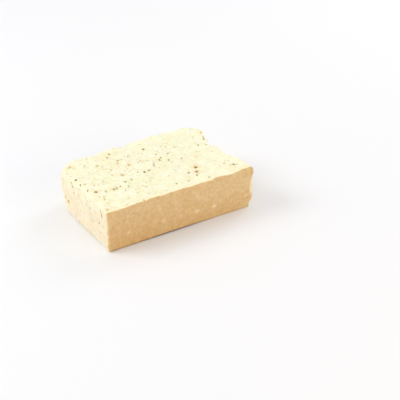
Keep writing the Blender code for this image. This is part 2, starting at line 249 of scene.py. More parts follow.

# The pores that stand out in the top: X, Y, radius (all mm), how dark its painted shade is, and how
# strong a halo where that isn't faint.
TOP_PORES = (
    (27.6, -21.3, 1.15, 1, 1), (24, -28.7, 1.15, 1, 1), (26.2, -27.8, 0.6, 0.5, 0.7),
    (23.9, -32.6, 0.55, 0.5, 0.7), (17.6, -26, 0.95, 1, 0.2), (8.4, 4.8, 1.05, 1, 0.6),
    (11.2, 7.2, 0.85, 1, 0.3), (10.4, 14.2, 0.8, 0.7, 0.3), (8.6, 17, 0.5, 0.35),
    (3.6, 4, 0.6, 0.5), (2.8, 6.4, 0.45, 0.4, 0), (5.2, 28, 0.95, 1), (6.2, 36.6, 0.6, 0.4),
    (-24.1, 34.5, 0.85, 1, 0.9), (-27.8, 30.6, 0.95, 1, 0.3), (-28.4, 34, 0.5, 0.4),
    (-40.1, 23.4, 0.8, 0.6, 0.9), (-17.3, 11.1, 0.75, 0.6, 1), (-20.5, 9.4, 0.9, 0.1, 0.5),
    (-6.1, 12, 0.7, 0.5, 0.8), (-4.6, 9.6, 0.8, 0.05, 0.6), (-7.6, 15, 0.5, 0.25),
    (-29.2, -0.4, 1.2, 0.4, 1), (-30.4, -1.2, 0.6, 0.4, 0.6), (-24.1, 18.5, 0.75, 0.7, 0.4),
    (-21.8, 21.8, 0.85, 0.5, 0.9), (-18.4, 22, 0.65, 0.6, 0.2), (-14.2, 25, 0.65, 0.45, 0.2),
    (-14.5, 16, 0.6, 0.3), (-3.7, 17.4, 0.8, 0.2), (-2, 23.6, 0.7, 0.25), (-1.2, 9.2, 0.65, 0.45),
    (-11.5, -5.2, 0.95, 0.95), (-11.4, -8.2, 0.6, 0.6), (-7.7, -5.2, 0.8, 1),
    (-16.6, -2.7, 0.75, 0.6), (-26.4, -10.5, 0.9, 0.85), (-18.6, -8.2, 0.45, 0.3),
    (-12.6, -12.4, 0.5, 0.3), (-33, -11.1, 0.95, 0.75, 0.2), (-33.8, -18.7, 0.85, 1, 0.2),
    (-35.5, -20.8, 0.55, 0.5), (-36.6, -24.4, 0.5, 0.3), (-40, -15.7, 0.75, 0.8),
    (-46.5, -16.9, 0.9, 0.8, 1), (-44.1, -16.9, 0.7, 0.7, 0.3), (-52.8, -15.9, 0.85, 0.95),
    (-59.9, -12.2, 1, 1, 0.7), (-64.6, 13.3, 0.95, 1), (-62.2, 2.9, 0.75, 0.85),
    (-65.4, 20.4, 0.6, 0.45, 0.3), (-46.6, -0.6, 0.8, 0.4), (-53, -4.2, 0.6, 0.5),
    (-49.2, -6.4, 0.45, 0.5), (-57.4, 13.8, 0.6, 0.35), (-60.5, 32.5, 1.2, 0.5, 1),
    (-58, 28.6, 0.8, 0.15, 0.8), (-66.4, 25.6, 0.8, 0.3), (-51, 32.6, 0.6, 0.35),
    (-32.6, 12, 0.8, 0.7, 0.7), (-35.6, 8.6, 1, 0.05, 0.6), (-36.4, 15.8, 0.6, 0.35),
    (-36.9, 3, 0.6, 0.45, 0.9), (-44.6, 11.4, 0.9, 0.2), (-32, 28.2, 0.5, 0.5),
    (23.6, 20.8, 0.7, 0.45), (29.2, 16.6, 0.75, 0.55), (31.2, 11, 0.6, 0.3),
    (35.5, 13.6, 0.6, 0.3), (16.6, 7.2, 0.5, 0.4), (13.2, 17.6, 0.6, 0.4, 0.2),
    (27.3, 25.2, 0.5, 0.3), (43.6, 1.4, 0.7, 0.4), (60.8, 7.3, 0.75, 0.6),
    (55.4, -6.4, 0.85, 0.4), (49.4, -28.5, 0.95, 0.5, 0.2), (52.9, -25.3, 0.6, 0.5),
    (55, -26.4, 0.5, 0.3), (54.7, -34.3, 0.95, 0.9, 0.4), (15.2, -4.2, 0.75, 0.35, 0.4),
    (22.5, -8, 0.7, 0.25), (38, -6, 1.1, 0.12, 0.4), (19, -18.4, 0.5, 0.4),
    (2.5, -21.4, 0.7, 0.35), (1.8, -6, 0.5, 0.45), (6.8, -6.6, 0.7, 0.3),
    (-22.2, -26, 0.75, 0.45), (-24.1, -22.7, 0.7, 0.35, 0.4), (-28.3, -22.6, 0.9, 0.12, 0.5),
    (-12, -17, 1.2, 0.08, 0.4), (0.3, -34.8, 0.85, 0.8), (10.7, -37, 0.8, 0.5, 0.5),
    (28.5, -40, 0.65, 0.6), (-24.9, -36.3, 0.8, 0.35, 0.2), (-57.6, -22.2, 0.7, 0.5, 0.3),
    (-59.5, -26.6, 0.75, 0.55, 0.5), (-59.4, -32.4, 0.7, 0.35, 0.4), (-60.2, -39.8, 0.5, 0.3),
    (-64.1, -40.8, 0.9, 0.35, 1), (-33.4, -43.6, 0.7, 0.9, 0.5),
)

# The same of the left end, at Y and Z.
END_PORES = (
    (-28.3, 19.2, 0.7, 0.95, 0.2), (-31, 11.1, 0.8, 0.45, 0.3), (-20.3, 7.8, 0.7, 0.3, 0.2),
    (-37, 20, 0.55, 0.4), (-14.8, 26.4, 1, 0.6), (-11.5, 30.8, 0.7, 0.5, 0.2),
    (-9.8, 26.6, 0.7, 0.4, 0.4), (-15.5, 21, 0.9, 0.2), (-17.6, 15.2, 1.1, 0.12, 0.3),
    (15.1, 30.8, 0.85, 0.95, 0.2), (15.8, 33.9, 0.7, 0.7), (13.8, 33.1, 0.6, 0.4, 0.4),
    (12.1, 26.3, 0.95, 0.6, 0.4), (4.3, 28, 0.8, 0.5, 0.4), (9.8, 22, 0.8, 0.35, 0.3),
    (3.2, 34.2, 0.8, 0.4), (5.7, 34.2, 0.6, 0.35), (18.4, 17.5, 0.8, 0.15, 0.5),
    (23.6, 12.4, 1.2, 0.8, 0.5), (28.4, 14.8, 0.95, 0.65, 0.2), (33, 22.8, 1, 0.35, 0.2),
    (32, 28.4, 0.8, 0.3, 0.2), (11.4, 4.2, 0.8, 0.5), (5.4, 2.6, 0.85, 1),
)
FAINT_HALO = 0.1

# Cracks and streaks, each a long narrow pore: its face and place, its half length, half width and
# depth (all mm), its turn (degrees), how dark its painted shade is and how strong a halo it has.
CRACKS = (
    ("left", (0.0, -32.7, 33.2), (1.8, 0.75, 1.5), 98, 0.9, 0.25),
    ("left", (0.0, -34.2, 29.7), (2.5, 1.05, 2.2), 84, 1.0, 0.25),
    ("left", (0.0, -34.2, 18.1), (1.6, 0.45, 0.7), 86, 0.3, 0.1),
    ("left", (0.0, -38.5, 9.5), (1.8, 0.35, 0.6), 88, 0.35, 0.1),
    ("top", (60.3, 16.6, 0.0), (2.2, 0.38, 1.5), 56, 1.0, 0.3),
    ("top", (61.9, 19.8, 0.0), (2.2, 0.36, 1.5), 64, 1.0, 0.3),
    ("top", (61.4, 28.0, 0.0), (1.9, 0.42, 1.5), 66, 0.6, 0.4),
    ("top", (54.4, 10.1, 0.0), (1.9, 0.60, 1.4), 52, 0.6, 0.1),
    ("top", (52.4, 23.2, 0.0), (2.6, 0.35, 0.5), 62, 0.3, 0.0),
    ("top", (1.1, 1.9, 0.0), (1.7, 0.48, 1.2), 66, 0.8, 0.1),
    ("top", (-0.5, -1.5, 0.0), (1.5, 0.58, 1.2), 48, 0.9, 0.1),
    ("top", (14.7, 0.4, 0.0), (1.9, 0.45, 1.0), 76, 0.8, 0.2),
    ("top", (19.2, 10.5, 0.0), (1.8, 0.50, 1.0), 50, 0.85, 0.1),
    ("top", (25.1, -2.7, 0.0), (1.7, 0.60, 1.1), 55, 0.75, 0.1),
    ("top", (21.6, -33.1, 0.0), (1.8, 0.55, 1.1), 70, 0.9, 0.5),
    ("top", (10.5, -17.8, 0.0), (1.6, 0.30, 0.6), 62, 0.5, 0.0),
    ("top", (45.6, -37.6, 0.0), (3.4, 0.26, 0.4), 60, 0.25, 0.0),
    ("top", (52.4, -33.6, 0.0), (1.6, 0.34, 0.6), -20, 0.5, 0.1),
    ("top", (57.0, -34.8, 0.0), (1.6, 0.40, 0.7), -20, 0.6, 0.1),
    ("top", (-11.3, 24.8, 0.0), (1.9, 0.50, 0.9), 62, 0.5, 0.1),
    ("top", (-36.6, 20.8, 0.0), (2.6, 0.28, 0.6), 62, 0.4, 0.0),
    ("top", (-43.4, 37.4, 0.0), (2.4, 0.40, 0.6), 62, 0.3, 0.0),
    ("top", (-49.4, 28.4, 0.0), (2.6, 0.50, 0.7), 60, 0.4, 0.1),
    ("top", (-39.3, -23.0, 0.0), (1.7, 0.40, 0.8), 58, 0.55, 0.1),
    ("top", (-56.8, -3.0, 0.0), (2.4, 0.35, 0.6), 58, 0.4, 0.0),
    ("top", (-65.8, 5.0, 0.0), (1.5, 0.55, 1.1), 66, 0.85, 0.1),
    ("top", (-64.6, -6.7, 0.0), (1.4, 0.65, 1.1), 54, 0.85, 0.1),
    ("front", (-15.6, 0.0, 9.6), (1.4, 0.40, 0.3), 0, 0.1, 0.0),
)

# Where pores gather in the top: X, Y and reach (mm), and how thickly.
TOP_FIELDS = (
    (-56, -8, 20, 0.9),
    (-30, 4, 24, 0.7),
    (6, 6, 20, 0.9),
    (22, -27, 9, 0.7),
    (-24, 30, 12, 0.5),
    (28, 16, 14, 0.5),
    (51, -30, 9, 0.6),
    (-50, 26, 14, 0.35),
)
FIELD_FLOOR = 0.10  # how thickly they lie away from the fields
LEFT_FIELD = (0.25, 1.0)  # how thickly at the left end's foot and top
OTHER_FIELD = 0.6  # and on every other face

# Small pores, drawn by a seeded rule: the face, how many, the largest radius (mm) and how dark
# their painted shade is.
PORE_SEED = 23
SMALL_PORES = (
    ("top", 540, 0.60, 0.52),
    ("left", 150, 0.60, 0.50),
    ("back", 150, 0.70, 0.50),
    ("right", 170, 1.10, 0.50),
    ("front", 40, 0.34, 0.25),
)
LEAST_RADIUS = 0.20 * MM
LEAST_DARK = 0.15  # the faintest small pore, as a share of the darkest
PORE_SKEW = 1.8  # how strongly the small pores tend to the least radius
SMALL_HALO = 0.35  # the strongest halo of a small pore
HALO_SKEW = 3  # how strongly their halos tend to none
PORE_GAP = 0.5 * MM  # the least gap between one of them and its neighbours
PORE_MARGIN = 2 * MM  # how far they keep from the edges

# The form of a pore, in shares of its radius where no unit is given.
PORE_STRETCH = (0.68, 1.28)
TOP_STRETCH = 1.2  # how much longer the pores of the top are along Y
PORE_DEPTH = (0.8, 1.7)
PALE_DEPTH = 0.5  # how deep the palest pore is, as a share of the darkest
PORE_LIFT = 0.15  # how far its middle lies above the skin
PORE_LUMPS = 0.22  # how uneven its wall is
LUMP_RATE = 1.6  # how many lumps there are to a radius
COARSE_PORE = 0.7 * MM  # pores wider than this get the finer wall
PLAIN_WALL = 2  # how often each wall's faces are divided
FINE_WALL = 3
FELLOW_PORE = 0.68 * MM  # pores wider than this run into smaller ones beside them
FELLOWS = 2
FELLOW_REACH = (0.75, 1.35)  # how far off the smaller ones are
FELLOW_SIZE = (0.35, 0.65)
FELLOW_DARK = (0.3, 0.8)  # how dark they are, as a share of the wide one
DISH_SHARE = 0.30  # how deep the shallow dish round it is
DISH_REACH = 1.7
HALO_REACH = 2.5
WALL_REACH = 1.3  # what counts as its wall, as a share of its blob
WALL_SHADE = (0.05, 0.75)  # from where to where down its wall the painted shade darkens it
PORE_SIGHT = 5 * MM  # no dish or halo reaches farther than this
STEADY_FOOT = 2 * MM  # the height over which the relief grows from the flat foot

# Pale curds in the cut front: X, Z, radius (all mm) and strength.
CURDS = (
    (30.5, 11.7, 1.5, 1), (14.4, 12.2, 1.5, 0.8), (-17.1, 13, 1.5, 0.6), (-49, 13, 1.2, 0.65),
    (-49, 28, 1.2, 0.35), (14, 28, 1.3, 0.4), (28.3, 23, 1.5, 0.3), (47.2, 11.6, 0.9, 0.5),
    (-1, 12, 1.2, 0.3), (-31, 23, 1.3, 0.2), (62, 12.2, 1.2, 0.6), (62.5, 27.5, 1.2, 0.35),
)
SMALL_CURDS = 60
SMALL_CURD_RADIUS = (0.5, 1.1)
SMALL_CURD_STRENGTH = (0.05, 0.22)
CURD_STRETCH = 1.35  # how much longer the curds are along X
CURD_RISE = 0.10 * MM
CURD_BAND = 2 * MM  # how far behind the cut's plane a place can still show a curd

SMOOTH_BELOW = math.radians(48)

Pore = collections.namedtuple("Pore", "middle place inverse radius dark halo")

# ----------------------------------------
# Where the colours lie.

TORN_TINT = 0.3  # how far the torn end's colour goes from the skin's to the cut's
WORN_HIGHLIGHT = 0.65  # how far the cut's colour is gone where its right edge is worn round: a painted highlight
WORN_HIGHLIGHT_STRIP = (1.25, 0.7)  # from where to where the painted highlight sets in, in shares of the round there
WORN_HIGHLIGHT_FROM = (10 * MM, 14 * MM)  # the heights between which that sets in
WORN_HIGHLIGHT_TO = (29.5 * MM, 32.5 * MM)  # and between which it ends
LIP_FROM = (28 * MM, 31 * MM)  # the heights between which the lip's painted glow sets in
EDGE_TINT = 0.5  # how much of the cut's colour its top edge has
LEFT_BLEND = 2 * MM  # the width over which the cut's colour sets in at its left edge
LEFT_TINT = 0.4  # how much of the cut's colour its left edge has: less, a painted highlight on the rounded edge
EDGE_SHADE = 0.45  # how strongly the top has painted warm shade along the cut, and over what width
EDGE_SHADE_REACH = 1.7 * MM
WIDE_EDGE_SHADE = 0.14  # the same painted shade in a wider, fainter strip
WIDE_EDGE_SHADE_REACH = 8 * MM
LIP_GLOW = 0.9  # how strongly the lip has a painted glow, and over what reach
LIP_GLOW_REACH = 4.2 * MM
CREASE_SHADE_DEPTH = 5 * MM  # the depth at which a crease would have its full painted shade

# ----------------------------------------
# Colours, light and camera.

SKIN_PALE = (0.977, 0.964, 0.757, 1.0)
SKIN_DEEP = (0.872, 0.832, 0.545, 1.0)
SKIN_WEIGHTS = (0.5, 0.5)  # how much the clouds and the specks deepen the skin
SIDE_TINT = (0.985, 0.89, 0.888, 1.0)
SIDE_LOW = 14 * MM  # the height up to which a side has its full tint
SIDE_HIGH = 40 * MM  # the height from which it has only a share of it
SIDE_HIGH_SHARE = 0.45
NEAR_TINT = (0.98, 0.95, 0.915, 1.0)
NEAR_WIDTH = 16 * MM  # how far from the cut a side has the near tint too
SIDE_FROM = 0.25  # up to this upward share of the normal a place is all side
SIDE_TO = 0.9  # and from this one on it is none
FRECKLE = (0.80, 0.76, 0.66, 1.0)
FRECKLE_SHARE = 0.3
# The cut's tan: the curd's inner colour, deepened with painted shade for a face turned from the
# key.
CUT_PALE = (0.709, 0.543, 0.292, 1.0)
CUT_DEEP = (0.636, 0.401, 0.159, 1.0)
CUT_LOW = 0.75 * HEIGHT  # the height up to which nearness to the foot deepens the cut with painted shade
CUT_WEIGHTS = (0.4, 0.24, 0.36)  # how much the painted shade at the foot and towards the left, and the drift, deepen it
GRAIN = (0.90, 0.84, 0.76, 1.0)
CURD = (0.80, 0.66, 0.40, 1.0)
# The halo tint: real stains round the pores, and painted shade and glow at the cut's edge, lip and
# creases.
HALO = (0.93, 0.75, 0.54, 1.0)
# The painted shade down the walls of the pores and cracks.
PORE_SHADE = (0.38, 0.28, 0.07, 1.0)
# The painted contact shadow along the foot.
CONTACT_SHADOW_COLOUR = (0.17, 0.075, 0.015, 1.0)

# Noise: its wavelength, detail and roughness, and where a range is read from it, that range.
CLOUDS = (7 * MM, 3.0, 0.6, 0.35, 0.65)
SPECKS = (1.8 * MM, 2.0, 0.6, 0.3, 0.7)
FRECKLES = (2.1 * MM, 1.0, 0.5, 0.60, 0.74)
DRIFT = (9 * MM, 3.0, 0.6, 0.35, 0.65)
GRAINS = (2.4 * MM, 3.0, 0.7, 0.35, 0.65)
PATCHES = (1.4 * MM, 2.0, 0.6, 0.35, 0.6)
PATCH_LEAST = 0.3  # how much of a halo its patches leave at the least
FINE_GRAIN = (0.7 * MM, 3.0, 0.6)

ROUGHNESS = (0.44, 0.60)
SUBSURFACE = 0.5
SUBSURFACE_RADIUS = (1.0, 0.65, 0.35)
SUBSURFACE_SCALE = 3 * MM
BUMP_STRENGTH = 0.35
BUMP_DEPTH = 0.12 * MM
BUMP_WEIGHTS = (1.0, 0.8)  # how much the fine grain and the specks raise it

# The sockets of a colour mix, which share their names with those of other kinds.
MIX_SHARE = 0
MIX_FIRST = 6
MIX_SECOND = 7
MIX_COLOUR = 2

CAMERA_PLACE = (-0.45935, -0.81894, 0.58475)
CAMERA_AZIMUTH = math.radians(-31.598)
CAMERA_ELEVATION = math.radians(31.780)
CAMERA_LENS = 119.4
SENSOR = 36.0

FLOOR_HALF = 3.0
FLOOR_DROP = 0.1 * MM
FLOOR_COLOUR = (0.885, 0.895, 0.91, 1.0)
FLOOR_ROUGHNESS = 0.9

WORLD_COLOUR = (0.985, 0.985, 1.0, 1.0)
WORLD_STRENGTH = 0.72
# Each light: place, size, power and colour.
LIGHTS = {
    "key": ((-0.95, 0.5, 0.85), 0.7, 7.4, (1.0, 0.99, 0.98)),
    "fill": ((0.35, -1.1, 0.35), 0.8, 5.0, (1.0, 0.84, 0.66)),
    "edge": ((0.9, 0.3, 0.6), 0.5, 2.2, (1.0, 0.98, 0.96)),
}
LIGHT_TARGET = (0.0, 0.0, 0.015)


# ----------------------------------------
# Form.

def blend(low, high, share):
    """The value that lies the given share of the way from low to high."""
    return low + (high - low) * share


def ease(value, start, end):
    """A smooth step from 0 at start to 1 at end."""
    share = min(max((value - start) / (end - start), 0.0), 1.0)
    return share * share * (3 - 2 * share)


def hump(distance, reach):
    """1 in the middle, falling smoothly away over the reach."""
    return math.exp(-((distance / reach) ** 2))


def inset_from(point, face):
    """How far a point lies inside a face."""
    axis, side, plane = FACES[face]
    return side * (plane - point[axis])


def lies_in(face, plain):
    """Whether a place on the plain block lies in a face, give or take the mesh's rounding."""
    return inset_from(plain, face) < TOUCH


def set_inset(point, face, inset):
    """Move a point to lie this far inside a face."""
    axis, side, plane = FACES[face]
    point[axis] = plane - side * inset


def rolled(inset_a, inset_b, radius):
    """The insets of a point from two faces, once the edge between them is a round."""
    reach_a = radius - inset_a
    reach_b = radius - inset_b
    if reach_a <= 0 or reach_b <= 0:
        return inset_a, inset_b
    shrink = max(reach_a, reach_b) / math.hypot(reach_a, reach_b)
    return radius - reach_a * shrink, radius - reach_b * shrink


def roll_edge(point, face_a, face_b, radius):
    """Move a point near the edge between two faces, so that the edge becomes a round."""
    inset_a, inset_b = rolled(inset_from(point, face_a), inset_from(point, face_b), radius)
    set_inset(point, face_a, inset_a)
    set_inset(point, face_b, inset_b)


def level_radius(rounds, side, point):
    """The radius of a side's top or foot edge, at the point's place along it."""
    along = 1 - FACES[side][0]
    low, high = EXTENT[along]
    return blend(*rounds[side], (point[along] - low) / (high - low))


def roll_wide_corner(point, side, end, radius, top_extra):
    """Round an upright corner with its top and foot edges, and say whether the point is in it."""
    reach_side = radius - inset_from(point, side)
    reach_end = radius - inset_from(point, end)
    if reach_side <= 0 or reach_end <= 0:
        return False
    turn = math.atan2(reach_end, reach_side)
    share = turn / QUARTER_TURN
    inset = radius - max(reach_side, reach_end)
    for level, rounds in LEVELS:
        side_round = level_radius(rounds, side, point)
        level_round = blend(side_round, level_radius(rounds, end, point), share)
        if level == "top":
            level_round += top_extra * math.sin(2 * turn)
        inset, level_inset = rolled(inset, inset_from(point, level), level_round)
        set_inset(point, level, level_inset)
    set_inset(point, side, radius - (radius - inset) * math.cos(turn))
    set_inset(point, end, radius - (radius - inset) * math.sin(turn))
    return True


def worn_round(z):
    """The radius of the right front corner at a height."""
    return blend(*RIGHT_FRONT_ROUND, hump(z - WORN_Z, WORN_HEIGHT))


def round_edges(point):
    """Roll every edge of the plain block."""
    if any(roll_wide_corner(point, *corner) for corner in WIDE_CORNERS):
        return
    for side in TOP_ROUNDS:
        for level, rounds in LEVELS:
            roll_edge(point, side, level, level_radius(rounds, side, point))
    roll_edge(point, "left", "front", LEFT_FRONT_ROUND)
    roll_edge(point, "right", "front", worn_round(point.z))


def offset_along(line, place):
    """The offset of a line at a place, eased between its named places."""
    for (low, start), (high, end) in zip(line, line[1:]):
        if place <= high:
            return blend(start, end, ease(place, low, high))
    return line[-1][1]


def shift_ends(point):
    """Tear and bulge the right end and add its lip, and lean and swell the left end."""
    height = (point.z - FOOT) / HEIGHT
    from_cut = point.y - FRONT
    towards_back = ease(point.y, FRONT, BACK)
    torn = offset_along(TORN_END, point.y) * blend(TORN_SHARE_AT_FOOT, 1.0, height)
    bulge = BULGE_OUT * hump(point.z - WORN_Z, WORN_HEIGHT) * hump(from_cut, BULGE_DEPTH)
    lip = LIP_OUT * hump(point.z - LIP_Z, LIP_HEIGHT) * hump(from_cut, LIP_DEPTH)
    swell = SWELL_OUT * hump(point.z - SWELL_Z, SWELL_HEIGHT) * towards_back
    lean = LEAN_IN * (1 - height) * hump(from_cut, LEAN_DEPTH)
    point.x += ease(point.x, RIGHT - TORN_REACH, RIGHT) * (torn + bulge + lip)
    point.x += (1 - ease(point.x, LEFT, LEFT + TORN_REACH)) * (lean - swell)


def roughen(point):
    """Uneven faces: slow and fine waves, shallow on the flat cut front, none at all on the foot."""
    height = (point.z - FOOT) / HEIGHT
    wave = noise.noise_vector(point / SLOW_WAVE) * SLOW_DEPTH
    wave += noise.noise_vector(point / FINE_WAVE) * FINE_DEPTH
    on_cut = 1 - ease(point.y, FRONT, FRONT + CUT_REACH)
    wave.y *= blend(1.0, CUT_SHARE, on_cut)
    wave.z *= TOP_SHARE
    point += wave * ease(height, 0.0, STEADY_SHARE)


def solid_form(place):
    """The place on the solid of a place on the plain block."""
    point = Vector(place)
    round_edges(point)
    shift_ends(point)
    roughen(point)
    return point


def shaped(place):
    """The place on the dressed block: the solid's form, with its edges off their plain lines."""
    point = solid_form(place)
    x, y, z = [value / MM for value in place]
    beside = hump(place.y - FRONT, EDGE_BAND)
    rise = beside * hump(place.z - TOP, EDGE_BAND) * offset_along(TOP_EDGE_LINE, x) * MM
    point.y += SET_BACK * max(rise, 0.0)
    point.z += min(rise, 0.0)
    point.x -= beside * hump(place.x - LEFT, EDGE_BAND) * offset_along(LEFT_EDGE_LINE, z) * MM
    point.x += beside * hump(place.x - RIGHT, EDGE_BAND) * offset_along(RIGHT_EDGE_LINE, z) * MM
    at_foot = 1 - ease(place.z, *TUCK_HEIGHTS)
    point.y += beside * at_foot * offset_along(FOOT_TUCK, x) * MM
    at_back = hump(place.y - BACK, BACK_BAND) * hump(place.z - TOP, BACK_BAND)
    point.z -= at_back * offset_along(BACK_EDGE_LINE, x) * MM
    at_corner = hump(math.hypot(place.x - LEFT, place.y - BACK), CORNER_BAND)
    out = at_corner * offset_along(CORNER_LINE, z) * SLANT * MM
    point.x -= out
    point.y += out
    fall = offset_along(TORN_FALL, y)
    fall += ease(TOP - place.z, *TORN_FALL_DEPTHS) * offset_along(TORN_FALL_BELOW, y)
    point.x -= ease(place.x, RIGHT - TORN_FALL_REACH, RIGHT) * fall * MM
    return point


# ----------------------------------------
# Pores and cracks.

def face_axes(face):
    """Across, up and outward for a face, as the columns of a turn."""
    axis, side, _ = FACES[face]
    outward = Vector((0, 0, 0))
    outward[axis] = side
    up = Vector((0, 1, 0)) if axis == 2 else Vector((0, 0, 1))
    return Matrix((up.cross(outward), up, outward)).transposed()


def on_face(face, first, second):
    """The place on the plain block of two coordinates in a face."""
    axis, _, plane = FACES[face]
    place = [first, second]
    place.insert(axis, plane)
    return Vector(place)


def make_pore(face, plain, reach, turn, dark, halo, length=1.0):
    """A pore: its middle just off the skin, and the turn and stretch of its blob."""
    axes = face_axes(face)
    skin = shaped(plain)
    middle = skin + axes.col[2] * (PORE_LIFT * min(reach[:2]) - crease_depth(skin, plain))
    along = Matrix.Diagonal((1, length, 1))
    spin = Matrix.Rotation(turn, 3, "Z")
    stretch = Matrix.Diagonal(reach)
    place = Matrix.Translation(middle) @ (axes @ along @ spin @ stretch).to_4x4()
    return Pore(middle, place, place.inverted(), (reach[0] + reach[1]) / 2, dark, halo)


def round_pore(rng, face, plain, radius, dark, halo):
    """A roundish pore, a little longer one way than the other."""
    reach = [radius * rng.uniform(*PORE_STRETCH) for _ in range(2)]
    reach.append(radius * rng.uniform(*PORE_DEPTH) * blend(PALE_DEPTH, 1.0, dark))
    length = TOP_STRETCH if face == "top" else 1.0
    return make_pore(face, plain, reach, rng.uniform(0, math.tau), dark, halo, length)


def named_pore(rng, face, plain, radius, dark, halo=FAINT_HALO):
    """A pore that stands out: a wide one has smaller ones running into it, so its rim is uneven."""
    pores = [round_pore(rng, face, plain, radius, dark, halo)]
    if radius < FELLOW_PORE:
        return pores
    across, up, _ = face_axes(face).col
    for _ in range(FELLOWS):
        turn = rng.uniform(0, math.tau)
        away = across * math.cos(turn) + up * math.sin(turn)
        beside = plain + away * radius * rng.uniform(*FELLOW_REACH)
        size = radius * rng.uniform(*FELLOW_SIZE)
        pores.append(round_pore(rng, face, beside, size, dark * rng.uniform(*FELLOW_DARK), 0.0))
    return pores


def field_strength(face, place):
    """How thickly small pores lie at a place."""
    if face == "top":
        gathered = sum(
            weight * hump(math.hypot(place.x / MM - x, place.y / MM - y), reach)
            for x, y, reach, weight in TOP_FIELDS
        )
        return FIELD_FLOOR + gathered
    if face == "left":
        return blend(*LEFT_FIELD, ease(place.z, FOOT, TOP))
    return OTHER_FIELD


def small_pores(rng, taken, face, count, largest, dark):
    """Small pores spread over one face by its fields, clear of those already there."""
    axis = FACES[face][0]
    spans = [(low + PORE_MARGIN, high - PORE_MARGIN) for low, high in EXTENT]
    spans.pop(axis)
    pores = []
    while len(pores) < count:
        plain = on_face(face, *(rng.uniform(*span) for span in spans))
        radius = blend(LEAST_RADIUS, largest * MM, rng.random() ** PORE_SKEW)
        if rng.random() > field_strength(face, plain):
            continue
        if any((plain - other).length < radius + reach + PORE_GAP for other, reach in taken):
            continue
        taken.append((plain, radius))
        shade = dark * rng.uniform(LEAST_DARK, 1.0)
        halo = SMALL_HALO * rng.random() ** HALO_SKEW
        pores.append(round_pore(rng, face, plain, radius, shade, halo))
    return pores


def all_pores():
    """Every pore and crack of the block."""
    rng = random.Random(PORE_SEED)
    named = [("top", *pore) for pore in TOP_PORES] + [("left", *pore) for pore in END_PORES]
    pores = []
    taken = []
    for face, first, second, radius, *looks in named:
        plain = on_face(face, first * MM, second * MM)
        taken.append((plain, radius * MM))
        pores += named_pore(rng, face, plain, radius * MM, *looks)
    for face, place, reach, degrees, dark, halo in CRACKS:
        axis, _, plane = FACES[face]
        plain = Vector(place) * MM
        plain[axis] = plane
        taken.append((plain, reach[0] * MM))
        sizes = [size * MM for size in reach]
        pores.append(make_pore(face, plain, sizes, math.radians(degrees), dark, halo))
    for face, count, largest, dark in SMALL_PORES:
        pores += small_pores(rng, taken, face, count, largest, dark)
    return pores


def add_object(name, data, collection=None):
    """A new object with the given data, in a collection or else in the scene's own."""
    made = bpy.data.objects.new(name, data)
    if collection is None:
        collection = bpy.context.scene.collection
    collection.objects.link(made)
    return made


def mesh_of(name, bm):
    """A mesh with what a bmesh holds. The bmesh is freed."""
    mesh = bpy.data.meshes.new(name)
    bm.to_mesh(mesh)
    bm.free()
    return mesh


def add_cutter(collection, pore):
    """The pore's blob as a closed mesh with a slightly lumpy wall."""
    bm = bmesh.new()
    divisions = FINE_WALL if pore.radius > COARSE_PORE else PLAIN_WALL
    bmesh.ops.create_icosphere(bm, subdivisions=divisions, radius=1.0)
    shift = pore.middle / MM
    for vert in bm.verts:
        vert.co *= 1 + PORE_LUMPS * noise.noise(vert.co * LUMP_RATE + shift)
    bmesh.ops.transform(bm, matrix=pore.place, verts=bm.verts)
    add_object("pore", mesh_of("pore", bm), collection)


# ----------------------------------------
# Curds in the cut.

def all_curds():
    """Pale curds on the cut front, the named ones and small ones by a seeded rule."""
    rng = random.Random(PORE_SEED)
    curds = [(x * MM, z * MM, radius * MM, strength) for x, z, radius, strength in CURDS]
    for _ in range(SMALL_CURDS):
        x = rng.uniform(LEFT, RIGHT)
        z = rng.uniform(FOOT, TOP)
        radius = rng.uniform(*SMALL_CURD_RADIUS) * MM
        curds.append((x, z, radius, rng.uniform(*SMALL_CURD_STRENGTH)))
    return curds


def curd_strength(curds, point):
    """How much of a curd shows at a point of the cut."""
    return max(
        strength * hump(math.hypot((point.x - x) / CURD_STRETCH, point.z - z), radius)
        for x, z, radius, strength in curds
    )


# ----------------------------------------
# The block.

def graded(low, high):
    """Places from low to high, close together at both ends and at a steady pitch between."""
    half = (high - low) / 2
    reaches = [0.0]
    step = FINEST_PITCH
    while reaches[-1] < half:
        reaches.append(reaches[-1] + step)
        step = min(step * PITCH_GROWTH, PITCH)
    scale = half / reaches[-1]
    inward = [reach * scale for reach in reaches]
    return [low + reach for reach in inward] + [high - reach for reach in reversed(inward[:-1])]


def make_shell(bm):
    """The plain block as a closed lattice of quads."""
    places = [graded(*span) for span in EXTENT]
    last = [len(line) - 1 for line in places]
    corners = {}

    def corner(index):
        if index not in corners:
            corners[index] = bm.verts.new([places[axis][index[axis]] for axis in range(3)])
        return corners[index]

    for axis in range(3):
        first, second = [other for other in range(3) if other != axis]
        for end in (0, last[axis]):
            for u in range(last[first]):
                for v in range(last[second]):
                    quad = []
                    for du, dv in ((0, 0), (1, 0), (1, 1), (0, 1)):
                        index = [end, end, end]
                        index[first] = u + du
                        index[second] = v + dv
                        quad.append(corner(tuple(index)))
                    bm.faces.new(quad)
    bmesh.ops.recalc_face_normals(bm, faces=bm.faces)


def layered(layers, point):
    """The sum of some layers of even noise, each with its wavelength and depth."""
    return sum(depth * noise.noise(point / wave) for wave, depth in layers)


def crease_depth(point, plain):
    """How deep the creases between the broken curds are at a point: nothing off the torn end."""
    if not lies_in("right", plain):
        return 0.0
    inside = ease(TOP - plain.z, 0, CREASE_EDGE) * ease(plain.y - FRONT, 0, CREASE_EDGE)
    bent = point + noise.noise_vector(point / BEND_WAVE) * BEND_DEPTH
    total = 0.0
    for size, depth in CREASE_LAYERS:
        nearest, second = noise.voronoi(bent / size)[0][:2]
        total += depth * max(1 - (second - nearest) / CREASE_WIDTH, 0.0)
    return inside * total


